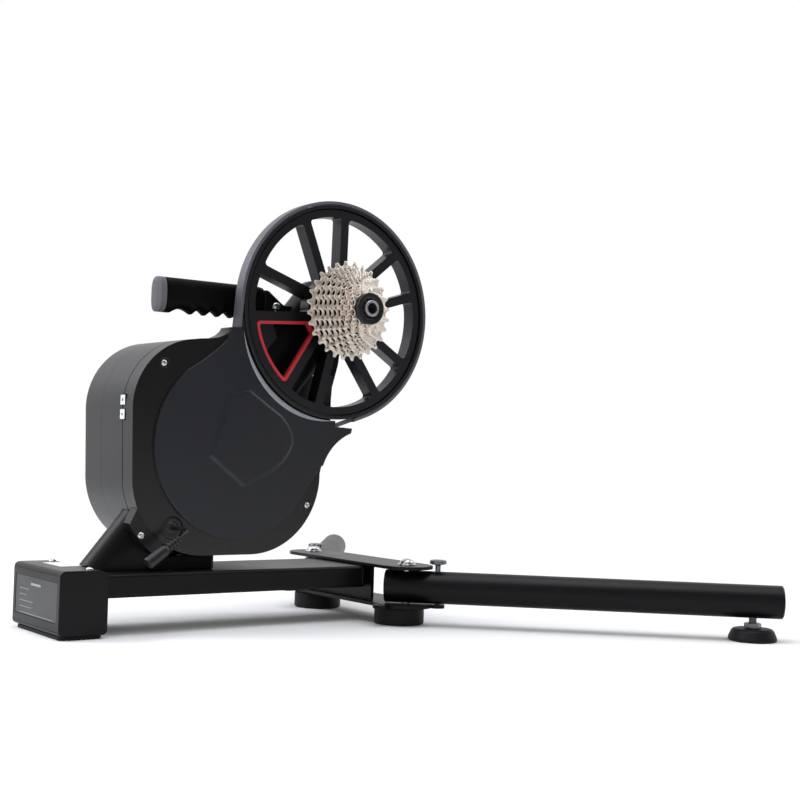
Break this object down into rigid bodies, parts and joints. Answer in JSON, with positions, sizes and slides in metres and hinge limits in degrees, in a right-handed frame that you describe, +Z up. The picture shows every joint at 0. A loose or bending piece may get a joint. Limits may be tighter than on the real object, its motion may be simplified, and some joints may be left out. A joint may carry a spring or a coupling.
{
  "type": "direct-drive bike trainer",
  "caption": "Bike trainer that takes the place of a rear wheel: folding stand, slanted tube, casing with a flywheel, spoked belt pulley, cassette, handle, levelling feet.",
  "frame": {"origin": "centre of the rear foot pad's underside, on the floor", "axes": "+X the way the bike faces, +Z up, -Y the drive side, where the cassette is"},
  "size_m": [0.7409, 0.8666, 0.4973],
  "materials": {
    "black_paint": "satin black powder coat",
    "black_plastic": "black moulded plastic",
    "shell_plastic": "charcoal satin plastic",
    "wheel_paint": "black anodised cast aluminium",
    "red_plastic": "dark red plastic",
    "rubber": "black rubber",
    "cap_plastic": "grey plastic",
    "nickel": "warm nickel-plated steel",
    "steel": "bright steel",
    "black_metal": "blackened steel",
    "aluminium": "turned aluminium",
    "cast_iron": "machined cast iron",
    "belt": "grey ribbed belt back",
    "lens": "pale translucent window",
    "sticker": "bare white film",
    "circuit_board": "green board"
  },
  "bodies": {
    "root": {"base_beam": "black_paint", "beam_end_cap": "black_plastic", "rear_foot_block": "black_plastic", "block_end_panel": "black_paint", "rear_foot_pad": "rubber", "block_top_sticker": "sticker", "block_screw_right": "steel", "block_screw_left": "steel", "main_tube": "black_paint", "casing_saddle": "black_metal", "saddle_screw": "steel", "casing_support": "rubber", "hub_brace": "black_paint", "handle_core": "black_paint", "handle_grip": "rubber", "handle_end_cap": "cap_plastic", "handle_bolt": "steel", "drive_cover": "shell_plastic", "middle_shell": "shell_plastic", "far_cover": "shell_plastic", "status_window_upper": "lens", "status_window_lower": "lens", "cover_screw_upper": "steel", "cover_screw_lower": "steel", "power_cord": "rubber", "cord_grommet": "rubber", "power_plug": "rubber", "drive_belt": "belt", "axle": "steel", "axle_end_drive": "aluminium", "wheel_bearing": "steel", "shaft_bearing": "steel", "magnet_brake": "cast_iron", "control_board": "circuit_board", "hinge_top_plate": "black_paint", "hinge_bottom_plate": "black_paint", "hinge_web": "black_paint", "pivot_bolt_right": "steel", "pivot_bolt_left": "steel", "hinge_pad_right": "rubber", "hinge_pad_left": "rubber"},
    "rotor": {"flywheel": "cast_iron", "flywheel_shaft": "steel"},
    "pulley": {"pulley_wheel": "wheel_paint", "window_trim": "red_plastic"},
    "cassette": {"freehub_body": "black_metal", "sprockets_large": "nickel", "sprockets_middle": "nickel", "sprockets_small": "nickel", "lockring": "black_metal"},
    "right_leg": {"leg_right": "black_paint", "leg_cap_right": "black_plastic"},
    "left_leg": {"leg_left": "black_paint", "leg_cap_left": "black_plastic"},
    "right_lock_pin": {"lock_pin_right": "steel"},
    "left_lock_pin": {"lock_pin_left": "steel"},
    "right_foot_screw": {"foot_screw_right": "steel"},
    "left_foot_screw": {"foot_screw_left": "steel"},
    "right_foot_puck": {"foot_puck_right": "rubber"},
    "left_foot_puck": {"foot_puck_left": "rubber"}
  },
  "joints": [
    {"name": "flywheel_spin", "type": "hinge", "parent": "root", "child": "rotor", "pos_m": [0.188, 0, 0.205], "axis": [0, -1, 0], "continuous": true},
    {"name": "pulley_spin", "type": "hinge", "parent": "root", "child": "pulley", "pos_m": [0.313, 0, 0.366], "axis": [0, -1, 0], "continuous": true},
    {"name": "cassette_freewheel", "type": "hinge", "parent": "pulley", "child": "cassette", "pos_m": [0.313, 0, 0.366], "axis": [0, -1, 0], "continuous": true},
    {"name": "leg_right_fold", "type": "hinge", "parent": "root", "child": "right_leg", "pos_m": [0.388, -0.1005, 0.0446], "axis": [0, 0, 1], "range_deg": [-136.4, 0]},
    {"name": "leg_left_fold", "type": "hinge", "parent": "root", "child": "left_leg", "pos_m": [0.388, 0.1005, 0.0446], "axis": [0, 0, 1], "range_deg": [0, 127.6]},
    {"name": "lock_pin_right_pull", "type": "slide", "parent": "right_leg", "child": "right_lock_pin", "axis": [0, 0, 1], "range_m": [0, 0.008], "stiffness_N_per_m": 800, "springref_m": -0.006},
    {"name": "foot_right_level", "type": "slide", "parent": "right_leg", "child": "right_foot_screw", "axis": [0, 0, 1], "range_m": [-0.008, 0.004]},
    {"name": "foot_right_swivel", "type": "hinge", "parent": "right_foot_screw", "child": "right_foot_puck", "pos_m": [0.6777, -0.3763, 0], "axis": [0, 0, 1], "continuous": true},
    {"name": "lock_pin_left_pull", "type": "slide", "parent": "left_leg", "child": "left_lock_pin", "axis": [0, 0, 1], "range_m": [0, 0.008], "stiffness_N_per_m": 800, "springref_m": -0.006},
    {"name": "foot_left_level", "type": "slide", "parent": "left_leg", "child": "left_foot_screw", "axis": [0, 0, 1], "range_m": [-0.008, 0.004]},
    {"name": "foot_left_swivel", "type": "hinge", "parent": "left_foot_screw", "child": "left_foot_puck", "pos_m": [0.6321, 0.4174, 0], "axis": [0, 0, 1], "continuous": true}
  ],
  "couplings": [
    {"joint": "pulley_spin", "follows": "flywheel_spin", "ratio": 0.125}
  ]
}
